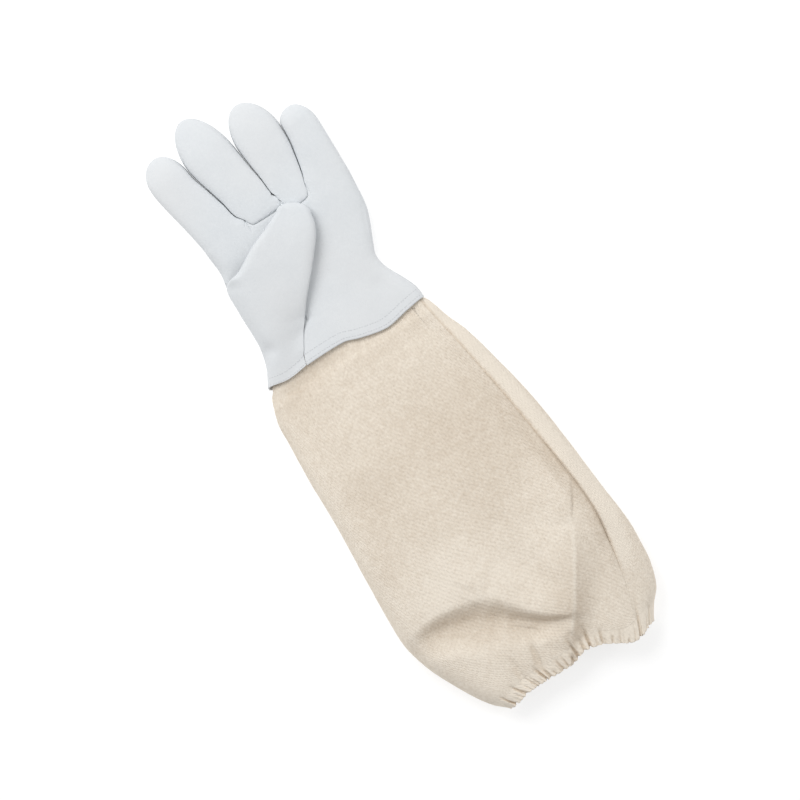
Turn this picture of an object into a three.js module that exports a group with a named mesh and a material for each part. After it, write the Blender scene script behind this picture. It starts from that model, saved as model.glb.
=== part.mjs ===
// A beekeeping glove for the left hand: a pale leather hand with its thumb folded over the palm,
// a long canvas sleeve lapped under the leather's hem, and an elastic cuff gathered at its mouth.
// It lies on its back on z = 0, fingers towards +Y, little finger towards +X. Millimetres.
import * as THREE from 'three';

// Walls and gaps
const leather = 1.2;
const canvas = 1.0;
const cuffWall = 2.6;
const clearance = 0.3;
const fingerGap = 0.8;

// Lengths along the glove
const handLength = 112;
const sleeveLength = 300.5;
const casing = 11;
const hemLap = 12;
const indexLength = 80;
const middleLength = 92.5;
const ringLength = 80.4;
const littleLength = 58.8;

// Widths across the glove
const palmWidth = 124;
const sleeveWidth = 190;
const seamLap = 9;

// Heights above the floor
const seamHeight = 7.5;
const palmTop = 14.5;
const fingerTop = 16;
const wristTop = 17;
const sleeveTop = 29;
const fingerRise = 1.5;
const thumbHeight = 11;
const thumbLift = 0.5;

// Widths over which the sides round off
const backRoll = 13;
const handRoll = 14;
const sleeveRoll = 20;
const fullRoll = 40;

// Folds and gathers
const foldDepth = 6;
const pleatDepth = 3.2;
const pleatCount = 38;

// How finely the walls are cut
const stripColumns = 6;
const handRows = 11;
const fingerRows = 6;
const tipRows = 4;
const thumbColumns = 10;
const thumbRows = 15;
const capRows = 4;
const upperColumns = 23;
const lowerColumns = 14;
const sleeveRows = 25;
const pleatColumns = 3;
const casingRows = 3;

const totalLength = sleeveLength + handLength + middleLength;
const hemLine = sleeveLength - totalLength / 2;
const crotchLine = hemLine + handLength;

// Outline of the hand from the hem, 0, to the finger crotches, 1; across is a share of the palm width.
// Seam is the line where the thumb panel and the palm are sewn, hidden under the thumb from 0.29 on.
const handOutline = [
  { along: 0.00, left: -0.612, right: 0.470, seam: -0.338, seamTop: 1.08 },
  { along: 0.08, left: -0.578, right: 0.461, seam: -0.318, seamTop: 1.06 },
  { along: 0.18, left: -0.543, right: 0.423, seam: -0.278, seamTop: 1.04 },
  { along: 0.29, left: -0.519, right: 0.376, seam: -0.200, seamTop: 1.00 },
  { along: 0.38, left: -0.514, right: 0.364, seam: -0.232, seamTop: 0.98 },
  { along: 0.46, left: -0.511, right: 0.390, seam: -0.300, seamTop: 0.95 },
  { along: 0.56, left: -0.510, right: 0.432, seam: -0.380, seamTop: 0.88 },
  { along: 0.66, left: -0.505, right: 0.468, seam: -0.450, seamTop: 0.74 },
  { along: 0.74, left: -0.492, right: 0.484, seam: -0.486, seamTop: 0.58 },
  { along: 0.84, left: -0.476, right: 0.494, seam: -0.474, seamTop: 0.52 },
  { along: 1.00, left: -0.484, right: 0.506, seam: -0.484, seamTop: 0.52 },
];

// Lines between the fingers above the crotches: along is a share of the middle finger's length.
const fingerLines = [
  { along: 0.00, line: [-0.484, -0.181, 0.060, 0.238, 0.506] },
  { along: 0.10, line: [-0.492, -0.217, 0.041, 0.257, 0.509] },
  { along: 0.25, line: [-0.510, -0.237, 0.034, 0.281, 0.513] },
  { along: 0.40, line: [-0.532, -0.265, 0.021, 0.302, 0.516] },
  { along: 0.55, line: [-0.552, -0.296, 0.012, 0.308, 0.517] },
  { along: 0.65, line: [-0.559, -0.306, 0.010, 0.308, 0.516] },
  { along: 1.00, line: [-0.559, -0.310, 0.008, 0.306, 0.516] },
];

// Each finger: where its tip lies across the palm, where each side starts to round off, and how far
// its base seam dips below the crotches as a share of the hand's length.
const fingers = [
  { name: 'index', length: indexLength, tip: -0.436, roundLeft: 0.76, roundRight: 0.71, dip: 0.00 },
  { name: 'middle', length: middleLength, tip: -0.174, roundLeft: 0.66, roundRight: 0.50, dip: 0.018 },
  { name: 'ring', length: ringLength, tip: 0.147, roundLeft: 0.63, roundRight: 0.63, dip: 0.062 },
  { name: 'little', length: littleLength, tip: 0.406, roundLeft: 0.83, roundRight: 0.66, dip: 0.00 },
];

// Thumb sections from the hem to where its tip rounds off: each edge across in palm widths and up in hand
// lengths, how free the right edge is of the palm, and the arch between the wrist's top and the thumb's.
const thumbSections = [
  { along: 0.00, left: [-0.612, 0.015], right: [-0.340, 0.012], free: 0.00, arch: 0.00 },
  { along: 0.06, left: [-0.585, 0.070], right: [-0.321, 0.080], free: 0.00, arch: 0.10 },
  { along: 0.18, left: [-0.528, 0.220], right: [-0.262, 0.205], free: 0.05, arch: 0.34 },
  { along: 0.30, left: [-0.515, 0.370], right: [-0.196, 0.290], free: 0.38, arch: 0.56 },
  { along: 0.42, left: [-0.511, 0.560], right: [-0.113, 0.400], free: 0.80, arch: 0.74 },
  { along: 0.54, left: [-0.492, 0.735], right: [-0.024, 0.505], free: 1.00, arch: 0.86 },
  { along: 0.66, left: [-0.372, 0.782], right: [0.060, 0.610], free: 1.00, arch: 0.94 },
  { along: 0.78, left: [-0.236, 0.864], right: [0.121, 0.692], free: 1.00, arch: 0.98 },
  { along: 0.90, left: [-0.100, 0.924], right: [0.161, 0.770], free: 1.00, arch: 0.97 },
  { along: 1.00, left: [0.002, 0.974], right: [0.175, 0.840], free: 1.00, arch: 0.90 },
];
const thumbHeel = 0.30;
const thumbCrotch = 0.54;
const thumbCap = 0.062;

// Height of the leather's wavy hem on the palm side: rise is a share of the hand's length.
const hemWave = [
  { across: -0.62, rise: 0.020 },
  { across: -0.48, rise: -0.006 },
  { across: -0.35, rise: 0.008 },
  { across: -0.33, rise: 0.018 },
  { across: -0.08, rise: 0.014 },
  { across: 0.01, rise: -0.020 },
  { across: 0.13, rise: -0.054 },
  { across: 0.20, rise: -0.062 },
  { across: 0.34, rise: -0.036 },
  { across: 0.47, rise: -0.020 },
];

// Sleeve sections from the hem, 0, down to the cuff: across in sleeve widths, top in sleeve tops.
const sleeveSections = [
  { along: -0.05, left: -0.360, right: 0.283, top: 0.52 },
  { along: 0.00, left: -0.399, right: 0.304, top: 0.54 },
  { along: 0.04, left: -0.424, right: 0.326, top: 0.58 },
  { along: 0.08, left: -0.443, right: 0.344, top: 0.60 },
  { along: 0.13, left: -0.448, right: 0.375, top: 0.64 },
  { along: 0.24, left: -0.461, right: 0.415, top: 0.72 },
  { along: 0.36, left: -0.467, right: 0.450, top: 0.82 },
  { along: 0.50, left: -0.484, right: 0.472, top: 0.92 },
  { along: 0.63, left: -0.498, right: 0.486, top: 1.00 },
  { along: 0.70, left: -0.500, right: 0.496, top: 1.00 },
  { along: 0.75, left: -0.485, right: 0.500, top: 0.98 },
  { along: 0.80, left: -0.459, right: 0.495, top: 0.95 },
  { along: 0.85, left: -0.420, right: 0.485, top: 0.91 },
  { along: 0.90, left: -0.373, right: 0.452, top: 0.86 },
  { along: 0.93, left: -0.337, right: 0.405, top: 0.83 },
  { along: 0.97, left: -0.281, right: 0.370, top: 0.80 },
];

// Lower edge of the cuff: drop is a share of the casing, below the line where the casing ends.
const cuffEdge = [
  { across: -0.281, drop: 0.36 },
  { across: -0.18, drop: 0.02 },
  { across: 0.02, drop: 0.05 },
  { across: 0.08, drop: -0.25 },
  { across: 0.16, drop: 0.10 },
  { across: 0.24, drop: 0.90 },
  { across: 0.28, drop: 1.05 },
  { across: 0.37, drop: 0.64 },
];
const cuffShare = 1 - (1.052 * casing) / sleeveLength;

// Folds of the sleeve's upper side, each a bent line in sleeve widths and sleeve lengths. Height and the
// widths to its left and right, at its two ends, are shares of the fold depth; a crisp fold falls off at
// once on its left, a soft one slowly.
const folds = [
  {
    line: [[-0.445, 0.716], [-0.260, 0.694], [-0.130, 0.775]],
    height: -0.87, left: [2.0, 2.7], right: [2.3, 3.7], crisp: false,
  },
  {
    line: [[-0.150, 0.735], [-0.060, 0.830], [0.100, 0.866]],
    height: -0.67, left: [2.3, 1.2], right: [3.7, 2.0], crisp: false,
  },
  {
    line: [[-0.130, 0.700], [-0.020, 0.800], [0.107, 0.852]],
    height: 0.57, left: [6.0, 3.3], right: [2.7, 1.2], crisp: false,
  },
  {
    line: [[0.307, 0.672], [0.168, 0.824], [0.039, 0.932]],
    height: 1.23, left: [4.3, 2.0], right: [6.0, 3.0], crisp: true,
  },
  {
    line: [[0.381, 0.496], [0.344, 0.589], [0.302, 0.676]],
    height: 0.57, left: [2.5, 2.0], right: [4.3, 3.7], crisp: true,
  },
  {
    line: [[-0.380, 0.060], [-0.250, 0.020], [-0.120, 0.030]],
    height: -0.30, left: [2.0, 2.0], right: [2.0, 2.0], crisp: false,
  },
];

// The sleeve's lapped side seam on its upper side
const seamLine = [
  { along: -0.05, across: 0.286 },
  { along: 0.01, across: 0.286 },
  { along: 0.14, across: 0.318 },
  { along: 0.30, across: 0.355 },
  { along: 0.50, across: 0.390 },
  { along: 0.65, across: 0.407 },
  { along: 0.75, across: 0.390 },
  { along: 0.85, across: 0.360 },
  { along: 0.97, across: 0.300 },
];

const leatherLook = new THREE.MeshStandardMaterial({ color: 0xdfe3e5, roughness: 0.72, metalness: 0 });
const leatherBackLook = new THREE.MeshStandardMaterial({ color: 0xd6dadc, roughness: 0.75, metalness: 0 });
const canvasLook = new THREE.MeshStandardMaterial({ color: 0xe9ddc8, roughness: 0.92, metalness: 0 });
const cuffLook = new THREE.MeshStandardMaterial({ color: 0xe2d3bb, roughness: 0.94, metalness: 0 });

const mix = THREE.MathUtils.lerp;
const clamp = THREE.MathUtils.clamp;
const smoothstep = THREE.MathUtils.smoothstep;

// Reads a column of a table at a place along it, on a smooth curve through its rows; a column that
// holds several numbers is named with the number's place in it
function read(table, key, column, at) {
  const last = table.length - 1;
  const value = (i) => [column].flat().reduce((cell, name) => cell[name], table[i]);
  const place = (i) => table[i][key];
  let i = 0;
  while (i < last - 1 && at > place(i + 1)) i += 1;
  const span = place(i + 1) - place(i);
  const t = clamp((at - place(i)) / span, 0, 1);
  const slope = (k) => {
    if (k === 0 || k === last) return 0;
    return (value(k + 1) - value(k - 1)) / (place(k + 1) - place(k - 1));
  };
  const t2 = t * t;
  const t3 = t2 * t;
  return value(i) * (2 * t3 - 3 * t2 + 1) + slope(i) * span * (t3 - 2 * t2 + t)
    + value(i + 1) * (3 * t2 - 2 * t3) + slope(i + 1) * span * (t3 - t2);
}

// Rounded shoulder: 0 at an edge, 1 once the distance from it reaches the roll's width
function roll(distance, width, power = 2.2) {
  const share = 1 - clamp(distance / width, 0, 1);
  return (1 - share ** power) ** (1 / power);
}

// A half arch over a strip, 0 at both sides and 1 along its middle
function arch(share, power) {
  return (1 - Math.abs(2 * share - 1) ** power) ** (1 / power);
}

// Columns across a strip, closer together near its two sides
function spread(share) {
  return mix(share, (1 - Math.cos(Math.PI * share)) / 2, 0.75);
}

function shares(count) {
  return Array.from({ length: count + 1 }, (_, i) => i / count);
}

// A sheet of cloth or leather, as rows of outer points that are joined into faces
class Sheet {
  constructor(facesUp) {
    this.facesUp = facesUp;
    this.points = [];
    this.faces = [];
    this.sides = new Set();
    this.rims = new Set();
  }

  // Adds a row of points; those at its two ends lie on side seams unless it is a closed ring
  row(points, ends = [true, true]) {
    const ids = points.map((point) => this.points.push(point) - 1);
    if (ends[0]) this.sides.add(ids[0]);
    if (ends[1]) this.sides.add(ids[ids.length - 1]);
    return ids;
  }

  face(...ids) {
    this.faces.push(this.facesUp ? ids : ids.reverse());
  }

  join(lower, upper, closed = false) {
    const count = closed ? lower.length : lower.length - 1;
    for (let i = 0; i < count; i += 1) {
      const next = (i + 1) % lower.length;
      this.face(lower[i], lower[next], upper[next]);
      this.face(lower[i], upper[next], upper[i]);
    }
  }

  // Closes the last row of a finger to one point at its tip
  close(lower, tip) {
    const [pole] = this.row([tip], [true, false]);
    for (let i = 0; i < lower.length - 1; i += 1) this.face(lower[i], lower[i + 1], pole);
  }

  // Which way is out at each point: level on a side seam, and square to the glove on a cut end
  outward() {
    const ways = this.points.map(() => new THREE.Vector3());
    const ab = new THREE.Vector3();
    const ac = new THREE.Vector3();
    for (const [a, b, c] of this.faces) {
      ab.subVectors(this.points[b], this.points[a]);
      ac.subVectors(this.points[c], this.points[a]);
      const way = ab.cross(ac);
      for (const id of [a, b, c]) ways[id].add(way);
    }
    ways.forEach((way, id) => {
      if (this.sides.has(id)) way.z = 0;
      if (this.rims.has(id)) way.y = 0;
      way.normalize();
    });
    return ways;
  }

  // The closed wall of one thickness: outer faces, inner faces and a rim along each free edge
  wall(thickness) {
    const ways = this.outward();
    const inner = this.points.map((point, id) => point.clone().addScaledVector(ways[id], -thickness));
    const count = this.points.length;
    const triangles = [];
    const edges = new Map();
    for (const face of this.faces) {
      const [a, b, c] = face;
      triangles.push([a, b, c], [a + count, c + count, b + count]);
      for (const [from, to] of [[a, b], [b, c], [c, a]]) {
        if (!edges.delete(`${to},${from}`)) edges.set(`${from},${to}`, [from, to]);
      }
    }
    for (const [from, to] of edges.values()) {
      triangles.push([to, from, from + count], [to, from + count, to + count]);
    }
    const geometry = new THREE.BufferGeometry();
    const places = [...this.points, ...inner].flatMap((point) => point.toArray());
    geometry.setAttribute('position', new THREE.Float32BufferAttribute(places, 3));
    geometry.setIndex(triangles.flat());
    geometry.computeVertexNormals();
    return geometry;
  }
}

// Hand: a column's place across the strips of the four fingers
const stripSides = fingerLines[0].line.map((x) => (x - fingerLines[0].line[0])
  / (fingerLines[0].line[4] - fingerLines[0].line[0]));

function hemRise(x) {
  return handLength * read(hemWave, 'across', 'rise', x / palmWidth);
}

function baseDip(finger, share) {
  return handLength * finger.dip * arch(share, 2.4);
}

// A point of the hand between its hem and the finger crotches
function handPoint(upper, strip, share, along) {
  const finger = fingers[strip];
  const leftColumn = upper ? 'seam' : 'left';
  const right = palmWidth * read(handOutline, 'along', 'right', along);
  const seamGap = clearance * smoothstep(0.8 - along, 0, 0.06);
  const left = palmWidth * read(handOutline, 'along', leftColumn, along) + (upper ? seamGap : 0);
  const across = mix(stripSides[strip], stripSides[strip + 1], spread(share));
  const x = mix(left, right, across);
  const scallop = smoothstep(along, 0.8, 1) ** 2;
  let y = hemLine + handLength * along;
  if (!upper) {
    const flat = seamHeight - clearance / 2;
    const rolled = roll(x - left, backRoll) * roll(right - x, backRoll);
    const cupped = Math.min(1, 1.06 * arch(spread(share), 3));
    return new THREE.Vector3(x, y, flat * (1 - Math.min(1, 1.04 * mix(rolled, cupped, scallop))));
  }
  y += hemRise(x) * (1 - smoothstep(along, 0, 0.25)) - baseDip(finger, spread(share)) * along ** 6;
  const edge = seamHeight + clearance / 2;
  const top = mix(wristTop, palmTop, smoothstep(along, 0, 0.35)) + fingerRise * smoothstep(along, 0.6, 0.9);
  const leftEdge = Math.max(edge, palmTop * read(handOutline, 'along', 'seamTop', along));
  const shoulder = mix(leftEdge, top, roll(x - left, handRoll));
  const rolled = mix(edge, shoulder, roll(right - x, handRoll));
  const cupped = mix(edge, fingerTop, arch(spread(share), 3));
  return new THREE.Vector3(x, y, mix(rolled, cupped, scallop));
}

// How much of its width and height a finger still has, past the place where a side rounds off
function taper(along, start) {
  const share = clamp((along - start) / (1 - start), 0, 1);
  return Math.sqrt(1 - share * share);
}

// Rows of a finger: even up to where it rounds off, then by equal angles over the tip
function fingerStations(finger) {
  const start = Math.min(finger.roundLeft, finger.roundRight);
  const straight = shares(fingerRows).slice(1).map((share) => share * start);
  const tip = shares(tipRows).slice(1, -1).map((share) => mix(start, 1, Math.sin(share * Math.PI / 2)));
  return [...straight, ...tip];
}

function fingerPoint(upper, strip, share, along) {
  const finger = fingers[strip];
  const lineAlong = (finger.length * along) / middleLength;
  const gap = Math.min(1, along * 12) * fingerGap / 2;
  const tipX = palmWidth * finger.tip;
  const leftLine = palmWidth * read(fingerLines, 'along', ['line', strip], lineAlong) + gap;
  const rightLine = palmWidth * read(fingerLines, 'along', ['line', strip + 1], lineAlong) - gap;
  const left = mix(tipX, leftLine, taper(along, finger.roundLeft));
  const right = mix(tipX, rightLine, taper(along, finger.roundRight));
  const x = mix(left, right, spread(share));
  const height = taper(along, Math.max(finger.roundLeft, finger.roundRight) * 0.9);
  const y = crotchLine + finger.length * along;
  if (!upper) {
    const cupped = Math.min(1, 1.06 * arch(spread(share), 3));
    return new THREE.Vector3(x, y, (seamHeight - clearance / 2) * (1 - cupped * height));
  }
  const dip = baseDip(finger, spread(share)) * (1 - along) ** 6;
  const edge = seamHeight + clearance / 2;
  const z = mix(edge, mix(edge, fingerTop, arch(spread(share), 3)), height);
  return new THREE.Vector3(x, y - dip, z);
}

// Carries a finger's strip on from its first row to its closed tip
function growFinger(sheet, upper, strip, firstRow) {
  let lower = firstRow;
  for (const along of fingerStations(fingers[strip])) {
    const row = sheet.row(shares(stripColumns).map((share) => fingerPoint(upper, strip, share, along)));
    sheet.join(lower, row);
    lower = row;
  }
  sheet.close(lower, fingerPoint(upper, strip, 0.5, 1));
}

// The hand's rows, each joined across all four strips
function growHand(sheet, upper) {
  let lower = null;
  for (const along of shares(handRows)) {
    const points = fingers.flatMap((_, strip) => shares(stripColumns).slice(strip ? 1 : 0)
      .map((share) => handPoint(upper, strip, share, along)));
    const row = sheet.row(points);
    if (lower) sheet.join(lower, row);
    lower = row;
  }
  for (const strip of [1, 2, 3]) sheet.sides.add(lower[strip * stripColumns]);
  return lower;
}

function stripOf(row, strip) {
  return row.slice(strip * stripColumns, (strip + 1) * stripColumns + 1);
}

function leatherBack() {
  const sheet = new Sheet(false);
  const crotches = growHand(sheet, false);
  fingers.forEach((_, strip) => growFinger(sheet, false, strip, stripOf(crotches, strip)));
  return sheet.wall(leather);
}

function leatherPalm() {
  const sheet = new Sheet(true);
  const crotches = growHand(sheet, true);
  for (const strip of [0, 3]) growFinger(sheet, true, strip, stripOf(crotches, strip));
  return sheet.wall(leather);
}

function fingerFront(strip) {
  const sheet = new Sheet(true);
  const base = shares(stripColumns).map((share) => handPoint(true, strip, share, 1));
  const lift = new THREE.Vector3(0, 2 * clearance, 0);
  const inset = (point, i) => {
    const side = (i === 0) - (i === stripColumns);
    return point.add(lift).add(new THREE.Vector3(side * fingerGap, 0, 0));
  };
  growFinger(sheet, true, strip, sheet.row(base.map(inset)));
  return sheet.wall(leather);
}

// Thumb: its edges at a section, level with the back's seam at first and free over the palm later
function thumbEdges(along) {
  const column = (name) => read(thumbSections, 'along', name, along);
  const edge = (name) => new THREE.Vector3(
    palmWidth * column([name, 0]),
    hemLine + handLength * column([name, 1]),
    0,
  );
  const free = clamp(column('free'), 0, 1);
  return { left: edge('left'), right: edge('right'), free, arch: column('arch') };
}

// Past the last section the two edges turn in to the tip
function thumbSpan(station) {
  const ends = thumbEdges(Math.min(station, 1));
  if (station <= 1) return { ...ends, height: 1 };
  const angle = (station - 1) * Math.PI / 2;
  const middle = ends.left.clone().add(ends.right).multiplyScalar(0.5);
  const half = ends.right.clone().sub(middle);
  const out = new THREE.Vector3(-half.y, half.x, 0).setLength(palmWidth * thumbCap * Math.sin(angle));
  half.multiplyScalar(Math.cos(angle));
  middle.add(out);
  const left = middle.clone().sub(half);
  const right = middle.clone().add(half);
  return { ...ends, left, right, height: Math.cos(angle) };
}

function thumbStations(from) {
  const first = shares(thumbRows).map((share) => mix(from, 1, share));
  const cap = shares(capRows).slice(1, -1).map((share) => 1 + share);
  return [...first, ...cap];
}

const thumbBed = palmTop + fingerRise + thumbLift;
const thumbSeam = thumbBed + thumbHeight / 2;

// How far the thumb's left edge has left the back's side seam, past the crotch
function thumbFree(station) {
  return smoothstep(station, thumbCrotch - 0.02, thumbCrotch + 0.06);
}

// Height of the thumb's right seam, which leaves the palm at the heel and then lies above it
function thumbRightHeight(station) {
  const span = thumbEdges(Math.min(station, 1));
  const up = (span.right.y - hemLine) / handLength;
  const wrist = mix(wristTop, palmTop, smoothstep(up, 0, 0.35));
  const palmEdge = Math.min(wrist, palmTop * read(handOutline, 'along', 'seamTop', up) + 1);
  return mix(palmEdge, thumbSeam + clearance / 2, span.free);
}

// The thumb's upper side: a panel rolled over the wrist's side that turns into the thumb itself
function thumbUpperPoint(station, share) {
  const span = thumbSpan(station);
  const across = spread(share);
  const point = span.left.clone().lerp(span.right, across);
  if (station < thumbCrotch) point.y += hemRise(point.x) * (1 - smoothstep(station, 0, 0.2));
  const leftEdge = mix(seamHeight, thumbSeam, thumbFree(station)) + clearance / 2;
  const rightEdge = thumbRightHeight(station);
  const top = mix(wristTop, thumbBed + thumbHeight, span.arch);
  const leftRoll = roll(across, mix(0.3, 0.16, thumbFree(station)));
  const panel = mix(leftEdge, mix(top, rightEdge, smoothstep(across, 0.35, 1)), leftRoll);
  const rolled = leftRoll * roll(1 - across, 0.16) * span.height;
  point.z = mix(panel, mix(mix(leftEdge, rightEdge, across), top, rolled), span.free);
  return point;
}

function thumbUpper() {
  const sheet = new Sheet(true);
  let lower = null;
  for (const station of thumbStations(0)) {
    const row = sheet.row(shares(thumbColumns).map((share) => thumbUpperPoint(station, share)));
    if (lower) sheet.join(lower, row);
    lower = row;
  }
  const tip = thumbUpperPoint(2, 0.5);
  tip.z = thumbSeam + clearance / 2;
  sheet.close(lower, tip);
  return sheet.wall(leather);
}

// The thumb's underside starts on its hidden seam with the palm and turns back over the palm
function thumbUnderPoint(station, share) {
  const span = thumbSpan(station);
  const hidden = clamp((station - thumbHeel) / (thumbCrotch - thumbHeel), 0, 1);
  const up = mix(0.30, 0.735, hidden);
  const seamX = palmWidth * read(handOutline, 'along', 'seam', up);
  const seam = new THREE.Vector3(seamX, hemLine + handLength * up, 0);
  const left = station < thumbCrotch ? seam : span.left;
  const across = spread(share);
  const nearCrotch = smoothstep(station, thumbHeel, thumbCrotch)
    * (1 - smoothstep(station, thumbCrotch + 0.07, thumbCrotch + 0.17));
  const inside = mix(leather, 9 * leather, nearCrotch);
  left.add(span.right.clone().sub(left).setLength(inside));
  const point = left.clone().lerp(span.right, across);
  const edge = thumbRightHeight(station) - clearance;
  const leftEdge = mix(thumbBed + leather, edge, thumbFree(station));
  const rise = mix(roll(1 - across, 0.3), arch(across, 2.6), thumbFree(station));
  point.z = mix(mix(leftEdge, edge, across), Math.min(thumbBed, edge), rise * span.height);
  return point;
}

function thumbUnder() {
  const sheet = new Sheet(false);
  let lower = null;
  for (const station of thumbStations(thumbHeel + 0.02)) {
    const row = sheet.row(shares(thumbColumns - 2).map((share) => thumbUnderPoint(station, share)),
      [station > thumbCrotch, true]);
    if (lower) sheet.join(lower, row);
    lower = row;
  }
  const tip = thumbUnderPoint(2, 0.5);
  tip.z = thumbSeam - clearance / 2;
  sheet.close(lower, tip);
  return sheet.wall(leather);
}

// How much of its height a fold keeps at a distance from its line
function foldSide(distance, width, crisp) {
  const share = Math.min(1, distance / width);
  return crisp ? (1 - share) ** 2 : (1 - share * share) ** 2;
}

// Height that a fold adds at a place on the sleeve, from the nearest point of its bent line
function foldLift(fold, x, along) {
  const place = ([across, down]) => new THREE.Vector2(across * sleeveWidth, -down * sleeveLength);
  const curve = new THREE.QuadraticBezierCurve(...fold.line.map(place));
  const here = new THREE.Vector2(x, -along * sleeveLength);
  const points = curve.getPoints(12);
  let nearest = Infinity;
  let share = 0;
  let onLeft = true;
  points.slice(1).forEach((end, i) => {
    const start = points[i];
    const run = end.clone().sub(start);
    const t = clamp(here.clone().sub(start).dot(run) / run.lengthSq(), 0, 1);
    const off = here.clone().sub(start.clone().addScaledVector(run, t));
    if (off.length() < nearest) {
      nearest = off.length();
      share = (i + t) / 12;
      onLeft = run.cross(off) > 0;
    }
  });
  const fade = Math.sin(Math.PI * (0.08 + share * 0.84)) ** 0.6;
  const [first, last] = onLeft ? fold.left : fold.right;
  const width = mix(first, last, share) * foldDepth;
  return fold.height * foldDepth * fade * foldSide(nearest, width, fold.crisp && onLeft);
}

function sleeveSpan(along) {
  return {
    left: sleeveWidth * read(sleeveSections, 'along', 'left', along),
    right: sleeveWidth * read(sleeveSections, 'along', 'right', along),
    top: sleeveTop * read(sleeveSections, 'along', 'top', along),
  };
}

function cuffDrop(x) {
  return casing * read(cuffEdge, 'across', 'drop', x / sleeveWidth);
}

// Pleats deepen from nothing above the cuff to their full depth at its edge
function pleat(turn, along) {
  const strength = smoothstep(along, 0.88, cuffShare) ** 2;
  const beat = Math.sin(2 * Math.PI * pleatCount * turn) * (0.75 + 0.25 * Math.sin(14 * Math.PI * turn));
  return pleatDepth * strength * beat / 2;
}

// A point round the sleeve: turn 0 is the left edge, 0.5 the right edge, over the top first
function sleevePoint(turn, along) {
  const span = sleeveSpan(along);
  const upper = turn <= 0.5;
  const share = spread(upper ? turn * 2 : (1 - turn) * 2);
  const inside = leather + 2 * clearance;
  const sideInset = inside * (1 - smoothstep(along, 0.006, 0.014));
  const left = span.left + sideInset;
  const right = span.right - sideInset;
  const x = mix(left, right, share);
  const seam = Math.min(seamHeight * 1.2, span.top * 0.45);
  const rollWidth = mix(sleeveRoll, fullRoll, smoothstep(along, 0, 0.5));
  const rolled = roll(x - left, rollWidth) * roll(right - x, rollWidth);
  const drop = cuffDrop(x) * smoothstep(along, 0.8, cuffShare);
  const y = hemLine - sleeveLength * along - drop;
  if (!upper) {
    const under = roll(x - left, handRoll) * roll(right - x, handRoll);
    const floorInset = inside * (1 - smoothstep(along, 0.002, 0.02));
    const lifted = floorInset + Math.max(0, pleat(turn, along));
    return new THREE.Vector3(x, y, mix(seam, lifted, Math.min(1, 1.03 * under)));
  }
  const lift = folds.reduce((sum, fold) => sum + foldLift(fold, x, along), 0);
  const topInset = inside * (1 - smoothstep(along, 0.026, 0.045));
  const top = span.top - topInset + lift + pleat(turn, along);
  return new THREE.Vector3(x, y, mix(seam, top, rolled));
}

// The sleeve is one cloth rolled into a tube, its two long edges lapped on the upper side
function canvasSleeve() {
  const sheet = new Sheet(true);
  const lapAlong = hemLap / sleeveLength;
  const end = cuffShare - (casing + 4 * clearance) / sleeveLength;
  let lower = null;
  for (const station of shares(sleeveRows)) {
    const along = mix(end, -lapAlong, station);
    const span = sleeveSpan(along);
    const seam = sleeveWidth * read(seamLine, 'along', 'across', along);
    const seamTurn = inverseSpread((seam - span.left) / (span.right - span.left)) / 2;
    const underTurn = inverseSpread((seam - seamLap - span.left) / (span.right - span.left)) / 2;
    const points = [];
    for (const share of shares(upperColumns + lowerColumns)) {
      const turn = (mix(underTurn, 1 + seamTurn, share)) % 1;
      const point = sleevePoint(turn, along);
      const raised = smoothstep(share, 0.9, 0.965) * (canvas + clearance);
      point.z += raised;
      points.push(point);
    }
    const row = sheet.row(points, [false, false]);
    if (lower) sheet.join(lower, row);
    else row.forEach((id) => sheet.rims.add(id));
    lower = row;
  }
  return sheet.wall(canvas);
}

// Turns a share across the width back into a share of the columns
function inverseSpread(across) {
  let low = 0;
  let high = 1;
  for (let i = 0; i < 30; i += 1) {
    const middle = (low + high) / 2;
    if (spread(middle) < across) low = middle;
    else high = middle;
  }
  return (low + high) / 2;
}

// The cuff: a doubled band with the elastic in it, gathered into pleats all round
function elasticCuff() {
  const sheet = new Sheet(true);
  const columns = pleatCount * pleatColumns;
  let lower = null;
  for (const station of shares(casingRows)) {
    const along = mix(cuffShare, cuffShare - casing / sleeveLength, station);
    const points = shares(columns).slice(0, -1).map((turn) => sleevePoint(turn, along));
    const row = sheet.row(points, [false, false]);
    if (lower) sheet.join(lower, row, true);
    lower = row;
  }
  lower.forEach((id) => sheet.rims.add(id));
  return sheet.wall(cuffWall);
}

function piece(name, geometry, material) {
  const mesh = new THREE.Mesh(geometry, material);
  mesh.name = name;
  return mesh;
}

const glove = new THREE.Group();
glove.add(
  piece('leather_back', leatherBack(), leatherBackLook),
  piece('leather_palm', leatherPalm(), leatherLook),
  piece('middle_finger_front', fingerFront(1), leatherLook),
  piece('ring_finger_front', fingerFront(2), leatherLook),
  piece('thumb_front', thumbUpper(), leatherLook),
  piece('thumb_underside', thumbUnder(), leatherLook),
  piece('canvas_sleeve', canvasSleeve(), canvasLook),
  piece('elastic_cuff', elasticCuff(), cuffLook),
);

export default glove;
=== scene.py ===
"""A left-hand beekeeping glove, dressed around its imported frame.

It has a pale leather hand with a folded thumb, a long canvas sleeve and a gathered elastic cuff.
"""

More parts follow.
